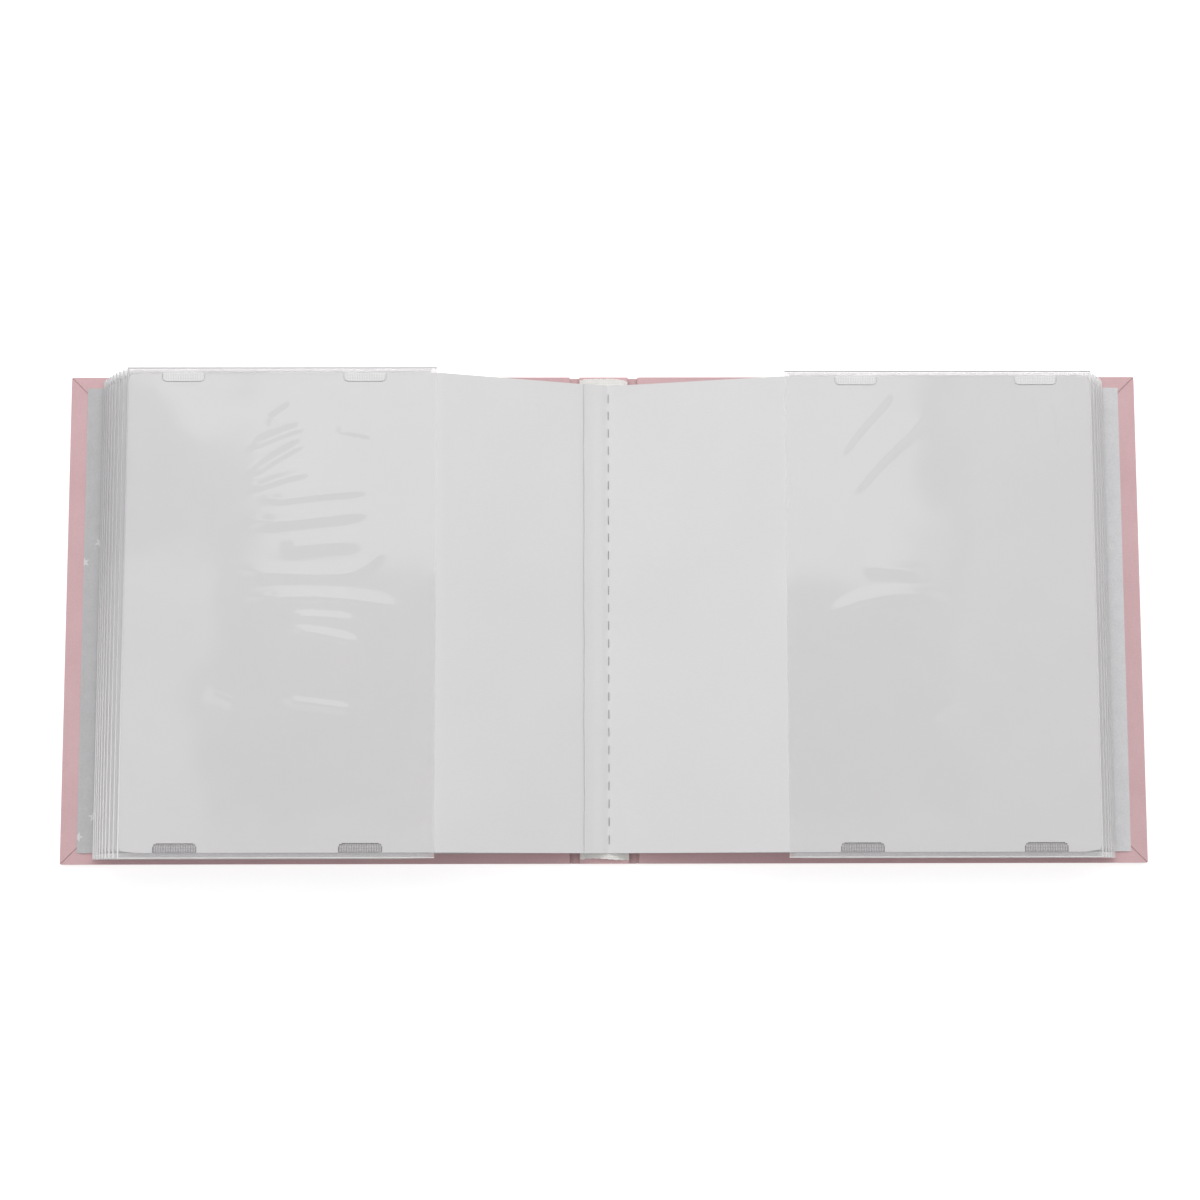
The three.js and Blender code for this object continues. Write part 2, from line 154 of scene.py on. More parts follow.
class Nodes:
    """A material's node tree, with short calls for the nodes used here."""

    def __init__(self, name):
        self.material = bpy.data.materials.new(name)
        self.material.use_nodes = True
        self.tree = self.material.node_tree
        self.tree.nodes.clear()
        self.output = self.tree.nodes.new("ShaderNodeOutputMaterial")
        self.shader = self.tree.nodes.new("ShaderNodeBsdfPrincipled")
        self.link(self.shader.outputs[0], self.output.inputs["Surface"])
        coords = self.tree.nodes.new("ShaderNodeTexCoord")
        self.coords = coords.outputs["Object"]

    def link(self, a, b):
        self.tree.links.new(a, b)

    def set(self, **values):
        for key, value in values.items():
            self.shader.inputs[key.replace("_", " ")].default_value = value

    def math(self, operation, a, b=0.0, c=0.0):
        node = self.tree.nodes.new("ShaderNodeMath")
        node.operation = operation
        for socket, value in zip(node.inputs, (a, b, c)):
            if isinstance(value, (int, float)):
                socket.default_value = value
            else:
                self.link(value, socket)
        return node.outputs[0]

    def axis(self, name):
        """The object's X, Y or Z coordinate."""
        split = self.tree.nodes.new("ShaderNodeSeparateXYZ")
        self.link(self.coords, split.inputs[0])
        return split.outputs[name]

    def between(self, value, start, end):
        """0 where the value is at start, 1 where it is at end."""
        node = self.tree.nodes.new("ShaderNodeMapRange")
        node.inputs["From Min"].default_value = start
        node.inputs["From Max"].default_value = end
        self.link(value, node.inputs["Value"])
        return node.outputs[0]

    def stretched(self, scale):
        node = self.tree.nodes.new("ShaderNodeMapping")
        node.inputs["Scale"].default_value = scale
        self.link(self.coords, node.inputs["Vector"])
        return node.outputs[0]

    def noise(self, scale, detail=3.0, roughness=0.55, stretch=None):
        node = self.tree.nodes.new("ShaderNodeTexNoise")
        node.inputs["Scale"].default_value = scale
        node.inputs["Detail"].default_value = detail
        node.inputs["Roughness"].default_value = roughness
        self.link(self.stretched(stretch) if stretch else self.coords, node.inputs["Vector"])
        return node.outputs["Fac"]

    def wave(self, scale, direction, distortion=0.0):
        node = self.tree.nodes.new("ShaderNodeTexWave")
        node.bands_direction = direction
        node.inputs["Scale"].default_value = scale
        node.inputs["Distortion"].default_value = distortion
        node.inputs["Detail"].default_value = 1.0
        self.link(self.coords, node.inputs["Vector"])
        return node.outputs["Fac"]

    def ramp(self, value, stops):
        node = self.tree.nodes.new("ShaderNodeValToRGB")
        while len(node.color_ramp.elements) < len(stops):
            node.color_ramp.elements.new(0.5)
        for element, (position, color) in zip(node.color_ramp.elements, stops):
            element.position = position
            element.color = (*color, 1)
        self.link(value, node.inputs["Fac"])
        return node.outputs["Color"]

    def mix(self, factor, a, b):
        """Blend two colours, each a socket or three numbers."""
        node = self.tree.nodes.new("ShaderNodeMix")
        node.data_type = "RGBA"
        if isinstance(factor, (int, float)):
            node.inputs["Factor"].default_value = factor
        else:
            self.link(factor, node.inputs["Factor"])
        for socket, value in ((node.inputs[6], a), (node.inputs[7], b)):
            if isinstance(value, tuple):
                socket.default_value = (*value, 1)
            else:
                self.link(value, socket)
        return node.outputs[2]

    def color(self, socket):
        self.link(socket, self.shader.inputs["Base Color"])

    def roughness(self, value, low, high):
        node = self.tree.nodes.new("ShaderNodeMapRange")
        node.inputs["To Min"].default_value = low
        node.inputs["To Max"].default_value = high
        self.link(value, node.inputs["Value"])
        self.link(node.outputs[0], self.shader.inputs["Roughness"])

    def bump(self, *layers):
        """Each layer is (height, strength, distance in metres)."""
        normal = None
        for height, strength, distance in layers:
            node = self.tree.nodes.new("ShaderNodeBump")
            node.inputs["Strength"].default_value = strength
            node.inputs["Distance"].default_value = distance
            self.link(height, node.inputs["Height"])
            if normal:
                self.link(normal, node.inputs["Normal"])
            normal = node.outputs[0]
        self.link(normal, self.shader.inputs["Normal"])
        return normal


def shaded(color, factor):
    """A colour with each part times a factor."""
    return tuple(factor * part for part in color)


def covering_material(name, shade=1.0):
    """Matt pink covering paper with a fine embossed grain."""
    m = Nodes(name)
    patches = m.noise(55, 4, 0.6)
    grain = m.noise(2600, 2, 0.5)
    threads = m.math("ADD", m.wave(900, "X", 1.2), m.wave(900, "Y", 1.2))
    deep, pale = shaded((0.625, 0.403, 0.422), shade), shaded((0.68, 0.456, 0.476), shade)
    base = m.ramp(patches, [(0.3, deep), (0.7, pale)])
    dark, light = shaded((0.59, 0.375, 0.395), shade), shaded((0.71, 0.494, 0.507), shade)
    speck = m.ramp(grain, [(0.35, dark), (0.65, light)])
    m.color(m.mix(0.3, base, speck))
    m.roughness(grain, 0.5, 0.68)
    m.set(Specular_IOR_Level=0.35)
    m.bump((threads, 0.12, 0.00006), (grain, 0.35, 0.00005))
    return m.material


def board_material(name):
    """Pressed greyboard with flecks."""
    m = Nodes(name)
    flecks = m.noise(900, 5, 0.7)
    layers = m.noise(240, 3, 0.6, stretch=(1, 1, 12))
    base = m.ramp(
        flecks,
        [(0.3, (0.33, 0.28, 0.22)), (0.5, (0.46, 0.4, 0.32)), (0.75, (0.55, 0.5, 0.42))],
    )
    layered = m.ramp(layers, [(0.3, (0.36, 0.31, 0.25)), (0.7, (0.52, 0.46, 0.38))])
    m.color(m.mix(0.35, base, layered))
    m.roughness(flecks, 0.8, 0.95)
    m.bump((flecks, 0.5, 0.0001))
    return m.material


def star_mask(m, shift_x, shift_y):
    """1 inside small plain five-pointed stars, strewn over staggered rows."""
    row = m.math("DIVIDE", m.math("SUBTRACT", m.axis("Y"), shift_y), STAR_ROW)
    row_number = m.math("FLOOR", row)
    odd = m.math("FLOORED_MODULO", row_number, 2.0)
    column = m.math(
        "ADD",
        m.math("DIVIDE", m.math("SUBTRACT", m.axis("X"), shift_x), STAR_COLUMN),
        m.math("MULTIPLY", odd, 0.5),
    )
    # two cells in fourteen hold a star, which spreads them evenly but not in lines
    cycle = 14.0
    second = 9.0
    steps = m.math("MULTIPLY", m.math("FLOOR", column), 3.0)
    key = m.math("FLOORED_MODULO", m.math("MULTIPLY_ADD", row_number, 5.0, steps), cycle)
    either = m.math("MULTIPLY", key, m.math("SUBTRACT", key, second))
    chosen = m.math("LESS_THAN", m.math("ABSOLUTE", either), 0.5)
    # the place in the cell, as a distance and an angle from the middle
    x = m.math("MULTIPLY", m.math("SUBTRACT", m.math("FRACT", column), 0.5), STAR_COLUMN)
    y = m.math("MULTIPLY", m.math("SUBTRACT", m.math("FRACT", row), 0.5), STAR_ROW)
    squares = m.math("ADD", m.math("MULTIPLY", x, x), m.math("MULTIPLY", y, y))
    distance = m.math("SQRT", squares)
    spin = m.math("ADD", m.math("ARCTAN2", x, y), math.pi)
    turn = m.math("MULTIPLY_ADD", row_number, 0.4, spin)
    # each of the five points is folded over onto half of one, which has a straight edge
    sector = 2 * math.pi / 5
    folded = m.math("SUBTRACT", m.math("FLOORED_MODULO", turn, sector), sector / 2)
    angle = m.math("SUBTRACT", sector / 2, m.math("ABSOLUTE", folded))
    inner = STAR_RADIUS * 0.42
    inset_x, inset_y = inner * math.cos(sector / 2), inner * math.sin(sector / 2)
    length = math.hypot(inset_y, STAR_RADIUS - inset_x)
    normal_x, normal_y = inset_y / length, (STAR_RADIUS - inset_x) / length
    along = m.math("MULTIPLY", distance, m.math("COSINE", angle))
    across = m.math("MULTIPLY", distance, m.math("SINE", angle))
    edge = m.math(
        "ADD", m.math("MULTIPLY", along, normal_x), m.math("MULTIPLY", across, normal_y)
    )
    outside = m.math("SUBTRACT", edge, STAR_RADIUS * normal_x)
    blur = 0.00008
    return m.math("MULTIPLY", m.between(outside, blur, -blur), chosen)


def endpaper_material(name, light, ink, shift_x, shift_y):
    """Grey endpaper, mottled, printed with small plain white stars."""

    def grey(level):
        return (level * light, level * light, level * light * 1.02)

    m = Nodes(name)
    fibres = m.noise(1500, 4, 0.6)
    patches = m.noise(260, 5, 0.7)
    ground = m.mix(
        0.5,
        m.ramp(patches, [(0.3, grey(0.47)), (0.7, grey(0.545))]),
        m.ramp(fibres, [(0.3, grey(0.46)), (0.7, grey(0.565))]),
    )
    stars = star_mask(m, shift_x, shift_y)
    cover = m.math("MULTIPLY_ADD", fibres, 0.5 * ink, 0.25 * ink)
    m.color(m.mix(m.math("MULTIPLY", stars, cover), ground, (0.84, 0.84, 0.845)))
    m.roughness(fibres, 0.62, 0.8)
    m.set(Specular_IOR_Level=0.3)
    m.bump((patches, 0.25, 0.0001), (fibres, 0.25, 0.00004))
    return m.material


def card_material(name):
    """Smooth white card, faintly fibrous."""
    m = Nodes(name)
    fibres = m.noise(1100, 4, 0.6, stretch=(0.6, 1.4, 1))
    patches = m.noise(28, 3, 0.5)
    base = m.ramp(patches, [(0.3, (0.705, 0.698, 0.706)), (0.7, (0.73, 0.724, 0.732))])
    fine = m.ramp(fibres, [(0.3, (0.695, 0.69, 0.7)), (0.7, (0.74, 0.735, 0.742))])
    m.color(m.mix(0.3, base, fine))
    m.roughness(fibres, 0.5, 0.65)
    m.set(Specular_IOR_Level=0.35)
    m.bump((fibres, 0.15, 0.00003), (m.noise(90, 2, 0.5), 0.1, 0.0001))
    return m.material


def film_material(name, veil, tint, smooth=0.07, streak=0.94, tail=None, stretch=(1, 5, 1)):
    """Clear pocket film, see-through under a faint milky veil and a soft gloss.
    The tint may be painted lighter from the middle towards the tail, as painted light."""
    tail_from, tail_to = 0.02, -0.07
    gloss_facing, gloss_grazing = 0.055, 0.6
    m = Nodes(name)
    streaks = m.noise(160, 3, 0.5, stretch=stretch)
    scuffs = m.noise(1300, 3, 0.7)
    color = m.ramp(streaks, [(0.3, shaded(tint, streak)), (0.7, tint)])
    # painted light: the colour turns lighter towards the tail
    if tail:
        tail_painted_light = m.ramp(streaks, [(0.3, shaded(tail, streak)), (0.7, tail)])
        color = m.mix(m.between(m.axis("Y"), tail_from, tail_to), color, tail_painted_light)
    m.color(color)
    m.roughness(scuffs, 0.36, 0.42)
    normal = m.bump((m.noise(30, 1, 0.3, stretch=(1, 2, 1)), 0.1, 0.0005))
    clear = m.tree.nodes.new("ShaderNodeBsdfTransparent")
    body = m.tree.nodes.new("ShaderNodeMixShader")
    m.link(m.math("MULTIPLY_ADD", scuffs, 0.12 * veil, 0.94 * veil), body.inputs["Fac"])
    m.link(clear.outputs[0], body.inputs[1])
    m.link(m.shader.outputs[0], body.inputs[2])
    gloss = m.tree.nodes.new("ShaderNodeBsdfGlossy")
    gloss.inputs["Roughness"].default_value = smooth
    m.link(normal, gloss.inputs["Normal"])
    weight = m.tree.nodes.new("ShaderNodeLayerWeight")
    weight.inputs["Blend"].default_value = 0.5
    m.link(normal, weight.inputs["Normal"])
    grazing = m.math("POWER", weight.outputs["Facing"], 5.0)
    film = m.tree.nodes.new("ShaderNodeMixShader")
    m.link(m.math("MULTIPLY_ADD", grazing, gloss_grazing, gloss_facing), film.inputs["Fac"])
    m.link(body.outputs[0], film.inputs[1])
    m.link(gloss.outputs[0], film.inputs[2])
    m.link(film.outputs[0], m.output.inputs["Surface"])
    return m.material


def weld_material(name, valley, crest):
    """The knurled weld: film pressed into milky ribs. The mesh's rib value takes the colour
    from valley to crest, so valleys and the weld's edges carry painted shade where the valley
    colour is darker and painted highlight where it is lighter.
    """
    m = Nodes(name)
    rib = m.tree.nodes.new("ShaderNodeAttribute")
    rib.attribute_name = "rib"
    grain = m.noise(1800, 2, 0.5)
    base = m.ramp(rib.outputs["Fac"], [(0.05, valley), (0.85, crest)])
    m.color(m.mix(0.2, base, m.ramp(grain, [(0.3, valley), (0.7, crest)])))
    m.roughness(grain, 0.2, 0.34)
    m.set(Specular_IOR_Level=0.7, Alpha=0.9)
    m.bump((grain, 0.25, 0.00005))
    return m.material


def lining_material(name):
    """Open-weave white spine lining."""
    m = Nodes(name)
    weave = m.math("MULTIPLY", m.wave(520, "X", 0.8), m.wave(520, "Y", 0.8))
    patches = m.noise(260, 4, 0.65)
    base = m.ramp(weave, [(0.05, (0.72, 0.71, 0.69)), (0.5, (0.9, 0.885, 0.86))])
    worn = m.ramp(patches, [(0.35, (0.76, 0.745, 0.72)), (0.7, (0.92, 0.905, 0.885))])
    m.color(m.mix(0.35, base, worn))
    m.roughness(patches, 0.8, 0.95)
    m.bump((weave, 0.6, 0.00015), (patches, 0.4, 0.0003))
    return m.material


def thread_material(name):
    """Twisted sewing thread in grey, darkened further as painted shade of the slits in the
    fold where it shows.
    """
    m = Nodes(name)
    twist = m.wave(900, "DIAGONAL")
    m.color(m.ramp(twist, [(0.2, (0.24, 0.24, 0.25)), (0.8, (0.42, 0.42, 0.43))]))
    m.roughness(m.noise(2000), 0.55, 0.75)
    m.bump((twist, 0.6, 0.0001))
    return m.material


COVERING = covering_material("covering")
# painted shade: covering darkened all over, for the thin strips laid in the mitre grooves
GROOVE_SHADE = covering_material("groove_shade", shade=0.55)
BOARD = board_material("greyboard")
ENDPAPER = {
    "front": endpaper_material(
        "front_endpaper", light=1.0, ink=1.0, shift_x=-0.17606, shift_y=0.02234
    ),
    "back": endpaper_material(
        "back_endpaper", light=1.3, ink=0.4, shift_x=0.1676, shift_y=0.0204
    ),
}
CARDSTOCK = card_material("card")
# Film, by where it is seen. At head and tail the two top leaves have a clear lip and a
# fine rim painted as a dark line of shade that turns light towards the tail, and the
# leaves below them are painted a milky white there, as painted light through the stacked
# films.
FILM = film_material("film", veil=0.09, tint=(0.675, 0.66, 0.68))
FILM_LIP = film_material("film_lip", veil=0.28, tint=(0.7, 0.69, 0.705), smooth=0.18)
FILM_MOUTH = film_material("film_mouth", veil=0.16, tint=(0.86, 0.87, 0.86), smooth=0.1)
# painted light: the lower leaves' lips and rims are a milky white copy of the clear film,
# standing in for the light that the stacked films let through and reflect
FILM_STACK_LIGHT = {
    -1: film_material(
        "film_stack_light_left", veil=0.4, tint=(0.91, 0.905, 0.91), smooth=0.15, streak=0.92
    ),
    1: film_material(
        "film_stack_light_right", veil=0.45, tint=(0.95, 0.94, 0.945), smooth=0.15, streak=0.93
    ),
}
# painted shade: the film's cut rim is an opaque dark grey line, painted lighter towards the
# tail
FILM_RIM = film_material(
    "film_rim", veil=1.0, tint=(0.28, 0.27, 0.28), smooth=0.3, tail=(0.8, 0.8, 0.79)
)
# painted light: the fold round the fore-edge is a near-opaque light grey that turns
# near-white towards the tail, standing in for the light on the stacked folds of clear film
FILM_FOLD = {
    -1: film_material(
        "film_fold_left",
        veil=0.85,
        tint=(0.7, 0.695, 0.71),
        smooth=0.15,
        streak=0.94,
        tail=(0.985, 0.98, 0.985),
        stretch=(5, 0.05, 1),
    ),
    1: film_material(
        "film_fold_right",
        veil=0.6,
        tint=(0.9, 0.895, 0.9),
        smooth=0.15,
        streak=0.9,
        tail=(0.95, 0.945, 0.945),
        stretch=(5, 0.05, 1),
    ),
}
# Painted light: the tail welds are a shaded copy, dark in the valleys and at the edges, and
# the head welds a lit copy, with light valleys as painted highlights.
WELD = weld_material("weld", valley=(0.32, 0.31, 0.32), crest=(0.63, 0.615, 0.63))
WELD_HEAD = weld_material("weld_head", valley=(0.86, 0.855, 0.86), crest=(0.68, 0.675, 0.685))
LINING = lining_material("lining")
THREAD = thread_material("thread")

# A film cell's paint is its material's place in the list that leaf_film gives to dress.
CLEAR, LIP, EDGE, FOLD, MOUTH = range(5)


def dress(obj, *materials):
    """Give an object its materials. Clearing the old ones forgets which face has which,
    so that is read first and put back."""
    chosen = np.zeros(len(obj.data.polygons), np.int32)
    obj.data.polygons.foreach_get("material_index", chosen)
    obj.data.materials.clear()
    for material in materials:
        obj.data.materials.append(material)
    if len(materials) > 1:
        obj.data.polygons.foreach_set("material_index", chosen)


# Mesh helpers


def new_object(name, mesh):
    """An object in the scene that shows a mesh."""
    obj = bpy.data.objects.new(name, mesh)
    bpy.context.scene.collection.objects.link(obj)
    return obj


def face_outwards(mesh):
    """Turn all faces of a closed mesh outwards."""
    bm = bmesh.new()
    bm.from_mesh(mesh)
    bmesh.ops.recalc_face_normals(bm, faces=bm.faces)
    bm.to_mesh(mesh)
    bm.free()


def sheet_object(name, top, bottom, keep=None):
    """A closed thin sheet from two grids of points in millimetres, leaving out cells
    where keep is False."""
    rows, columns = top.shape[:2]
    if keep is None:
        keep = np.ones((rows - 1, columns - 1), bool)
    used = np.zeros((rows, columns), bool)
    for i, j in ((0, 0), (1, 0), (0, 1), (1, 1)):
        used[i : rows - 1 + i, j : columns - 1 + j] |= keep
    index = -np.ones((rows, columns), int)
    index[used] = np.arange(used.sum())
    count = int(used.sum())
    points = np.concatenate([top[used], bottom[used]]) * MM
    faces = []
    for i, j in zip(*np.nonzero(keep)):
        a, b, c, d = index[i, j], index[i + 1, j], index[i + 1, j + 1], index[i, j + 1]
        faces.append((a, b, c, d))
        faces.append((a + count, d + count, c + count, b + count))
        # a side face stands wherever no kept cell is next door
        for (p, q), (di, dj) in (
            ((a, b), (0, -1)),
            ((b, c), (1, 0)),
            ((c, d), (0, 1)),
            ((d, a), (-1, 0)),
        ):
            ni, nj = i + di, j + dj
            if not (0 <= ni < keep.shape[0] and 0 <= nj < keep.shape[1] and keep[ni, nj]):
                faces.append((q, p, p + count, q + count))
    mesh = bpy.data.meshes.new(name)
    mesh.from_pydata(points.tolist(), [], faces)
    mesh.update()
    face_outwards(mesh)
    return new_object(name, mesh)


def film_object(name, points, keep, paint):
    """A single sheet of film from a grid of points in millimetres, leaving out cells
    where keep is False. paint gives each cell's material."""
    columns = points.shape[1]
    faces, materials = [], []
    for i, j in zip(*np.nonzero(keep)):
        a = int(i * columns + j)
        faces.append((a, a + columns, a + columns + 1, a + 1))
        materials.append(int(paint[i, j]))
    mesh = bpy.data.meshes.new(name)
    mesh.from_pydata((points.reshape(-1, 3) * MM).tolist(), [], faces)
    mesh.polygons.foreach_set("material_index", np.array(materials, np.int32))
    mesh.update()
    return new_object(name, mesh)


def shade_smooth(obj, angle=35):
    """Shade an object smooth, apart from edges as sharp as an angle in degrees."""
    obj.data.shade_smooth()
    sharp = math.radians(angle)
    bm = bmesh.new()
    bm.from_mesh(obj.data)
    for edge in bm.edges:
        edge.smooth = len(edge.link_faces) == 2 and edge.calc_face_angle(0) < sharp
    bm.to_mesh(obj.data)
    bm.free()


def spaced(stops, step):
    """Points along a line through all the stops, no further apart than step."""
    rounding = 1e-9
    found = [stops[0]]
    for a, b in zip(stops[:-1], stops[1:]):
        count = max(1, math.ceil((b - a) / step - rounding))
        found += [a + (b - a) * (n + 1) / count for n in range(count)]
    return np.array(found)


def softened_copy(node, name, width, body):
    """A copy of a CAD node with its flat faces joined and its edges rounded."""
    flat_angle, sharp_angle = math.radians(1), math.radians(40)
    obj = new_object(name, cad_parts[node].data.copy())
    bm = bmesh.new()
    bm.from_mesh(obj.data)
    bmesh.ops.remove_doubles(bm, verts=bm.verts, dist=1e-6)
    bmesh.ops.dissolve_limit(bm, angle_limit=flat_angle, verts=bm.verts, edges=bm.edges)
    sharp = [
        e for e in bm.edges if len(e.link_faces) == 2 and e.calc_face_angle(0) > sharp_angle
    ]
    bmesh.ops.bevel(
        bm,
        geom=sharp,
        offset=width * MM,
        segments=3,
        profile=0.6,
        affect="EDGES",
        clamp_overlap=True,
    )
    bmesh.ops.triangulate(bm, faces=[f for f in bm.faces if len(f.verts) > 4])
    bm.to_mesh(obj.data)
    bm.free()
    shade_smooth(obj, 40)
    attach(obj, body)
    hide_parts(node)
    return obj


# Covers and spine


def dress_cover(side):
    """A cover: its wrap with rounded edges, and the finish of board and endpapers."""
    wrap = softened_copy(
        f"{side}_cover_wrap", f"{side}_covering", COVER_EDGE, f"{side}_cover"
    )
    dress(wrap, COVERING)
    dress(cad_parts[f"{side}_cover_board"], BOARD)
    dress(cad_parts[f"{side}_pastedown"], ENDPAPER[side])
    dress(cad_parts[f"{side}_flyleaf"], ENDPAPER[side])


def mitre_groove_shades(side, body):
    """Painted shade of the groove where two turned-in strips meet at each outer corner: a
    thin dark strip of covering sunk in it.
    """
    way = 1 if side == "back" else -1
    half_width, sunk, thickness = 0.07, 0.07, 0.04
    first, last = 0.2, TURN_IN_FORE * 1.02
    along = np.linspace(first, last, 7)
    across = (-half_width, half_width)
    for name, end in (("tail", -1), ("head", 1)):
        top = np.zeros((len(along), len(across), 3))
        for i, t in enumerate(along):
            for j, c in enumerate(across):
                x = way * (HALF_WIDTH - t + c)
                top[i, j] = (x, end * (HALF_HEIGHT - t - c), COVER_TOP - sunk)
        bottom = top.copy()
        bottom[:, :, 2] -= thickness
        groove_shade = sheet_object(f"{side}_{name}_seam", top, bottom)
        dress(groove_shade, GROOVE_SHADE)
        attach(groove_shade, body)


def dress_spine():
    """The spine's covering with rounded edges, and the finish of its board."""
    covering = softened_copy("spine_wrap", "spine_covering", SPINE_EDGE, "spine")
    dress(covering, COVERING)
    dress(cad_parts["spine_board"], BOARD)


def sewing_thread():
    """The thread, pulled down tight and narrow into the fold."""
    narrowed = 0.5
    obj = new_object("thread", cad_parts["sewing_thread"].data.copy())
    for vertex in obj.data.vertices:
        vertex.co.x = THREAD_X * MM + narrowed * (vertex.co.x - THREAD_X * MM)
    dress(obj, THREAD)
    shade_smooth(obj, 60)
    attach(obj, "spine")
    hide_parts("sewing_thread")


def fold_strip(side, body):
    """Covering paper that runs on through the fold between spine and cover."""
    inner, outer = 10.2, 11.95
    low, middle, high = 0.03, 0.15, 0.27
    from_end = 0.1
    xs = spaced(sorted([side * inner, side * outer]), 0.12)
    ys = spaced([-HALF_HEIGHT + from_end, HALF_HEIGHT - from_end], 12)
    top = np.zeros((len(xs), len(ys), 3))
    bottom = np.zeros_like(top)
    for i, x in enumerate(xs):
        for j, y in enumerate(ys):
            top[i, j] = (x, y, high)
            bottom[i, j] = (x, y, low)
    obj = sheet_object(f"{body}_fold", top, bottom)
    dress(obj, COVERING)
    shade_smooth(obj)
    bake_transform(obj)


def frayed(xs, depth, slow, slow_phase, fast, fast_phase):
    """How far a frayed end of cloth falls short, across its width."""
    long_waves = depth * np.sin(xs * slow + slow_phase)
    short_waves = 0.08 * np.sin(xs * fast + fast_phase)
    return long_waves + short_waves + 0.05 * rng.standard_normal(len(xs))


def spine_lining():
    """The white lining, arched under the leaves, with slightly frayed ends."""
    tail, head = -1, 1
    reach = {tail: HALF_HEIGHT - 1.45, head: HALF_HEIGHT - 0.6}
    most_beyond = 0.4
    droop_from, droop_depth = 0.96, 0.25
    xs = spaced([-LINING_HALF_WIDTH, LINING_HALF_WIDTH], 0.27)
    ys = spaced([-1, -0.985, -0.96, -0.9, 0.9, 0.96, 0.985, 1], 0.05)
    short = {tail: frayed(xs, 0.3, 0.35, 2.6, 2.9, 0)}
    # the head's end is also rounded off, most at its right corner
    rounded = 1.2 * (np.abs(xs + 1) / (LINING_HALF_WIDTH + 1)) ** 2
    short[head] = frayed(xs, 0.25, 0.4, 2, 3.3, 1) + rounded
    top = np.zeros((len(xs), len(ys), 3))
    bottom = np.zeros_like(top)
    for i, x in enumerate(xs):
        for j, v in enumerate(ys):
            end = head if v > 0 else tail
            # the high power keeps the fraying to the very end
            y = v * (reach[end] - max(-most_beyond, short[end][i]) * abs(v) ** 30)
            near = max(0.0, (abs(v) - droop_from) / (1 - droop_from))
            droop = near * droop_depth * (0.5 + 0.5 * math.sin(x * 1.3 + end))
            top[i, j] = (x, y, sewn_height(x) - HINGE_SEAT - droop)
            bottom[i, j] = (x, y, COVER_TOP + 0.01)
    obj = sheet_object("lining_cloth", top, bottom)
    dress(obj, LINING)
    shade_smooth(obj, 50)
    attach(obj, "spine")
    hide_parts("spine_lining")


# Leaves


def leaf_line(place, stops):
    """Middle line of a leaf in x and z, and its slope, at lengths from the sewn edge."""
    settle = 10
    samples = 3291
    fine = np.linspace(0, STRIP + POCKET, samples)
    t = np.clip((fine - (STRIP - BEND)) / (2 * BEND), 0, 1)
    slope = place["slope"] * (1 - t * t * (3 - 2 * t))
    step = fine[1] - fine[0]
    cosines, sines = np.cos(slope), np.sin(slope)
    along = np.concatenate([[0], np.cumsum((cosines[1:] + cosines[:-1]) / 2 * step)])
    up = np.concatenate([[0], np.cumsum((sines[1:] + sines[:-1]) / 2 * step)])
    x = place["x"] + place["side"] * np.interp(stops, fine, along)
    z = place["z"] + np.interp(stops, fine, up)
    # the level part is set to the CAD height exactly
    level = place["flat"] - (place["z"] + up[-1])
    z = z + level * np.clip((stops - STRIP + settle) / (2 * settle), 0, 1)
    return x, z, np.interp(stops, fine, slope)


def card_grid(start):
    """A card's grid: lengths from the sewn edge, and places from tail to head."""
    small, large = NOTCH_STEPS
    beside = 4
    marks = []
    for middle in NOTCH_MIDDLES:
        a, b = STRIP + middle - NOTCH_WIDTH / 2, STRIP + middle + NOTCH_WIDTH / 2
        marks += [a, a + small, a + large, b - large, b - small, b]
    us = [start]
    for a, b, step in (
        (start, STRIP - beside, 9),
        (STRIP - beside, STRIP + beside, 0.5),
        (STRIP + beside, STRIP + POCKET - CARD_SHORT, 9),
    ):
        inner = [a] + [m for m in marks if a < m < b] + [b]
        us += list(spaced(inner, step))[1:]
    notch = CARD_HALF - NOTCH_DEPTH
    half = [notch - beside, notch, notch + small, notch + large, CARD_HALF]
    between = list(spaced([-notch + beside, notch - beside], 12))[1:-1]
    vs = sorted([-v for v in half] + between + half)
    return np.array(us), np.array(vs)


def in_notch(u, v):
    """Whether a place on a card is cut out. A notch's inner corners are rounded off."""
    small, large = NOTCH_STEPS
    dv = abs(v) - (CARD_HALF - NOTCH_DEPTH)
    for middle in NOTCH_MIDDLES:
        du = NOTCH_WIDTH / 2 - abs(u - STRIP - middle)
        corner = (du < small and dv < large) or (du < large and dv < small)
        if du > 0 and dv > 0 and not corner:
            return True
    return False


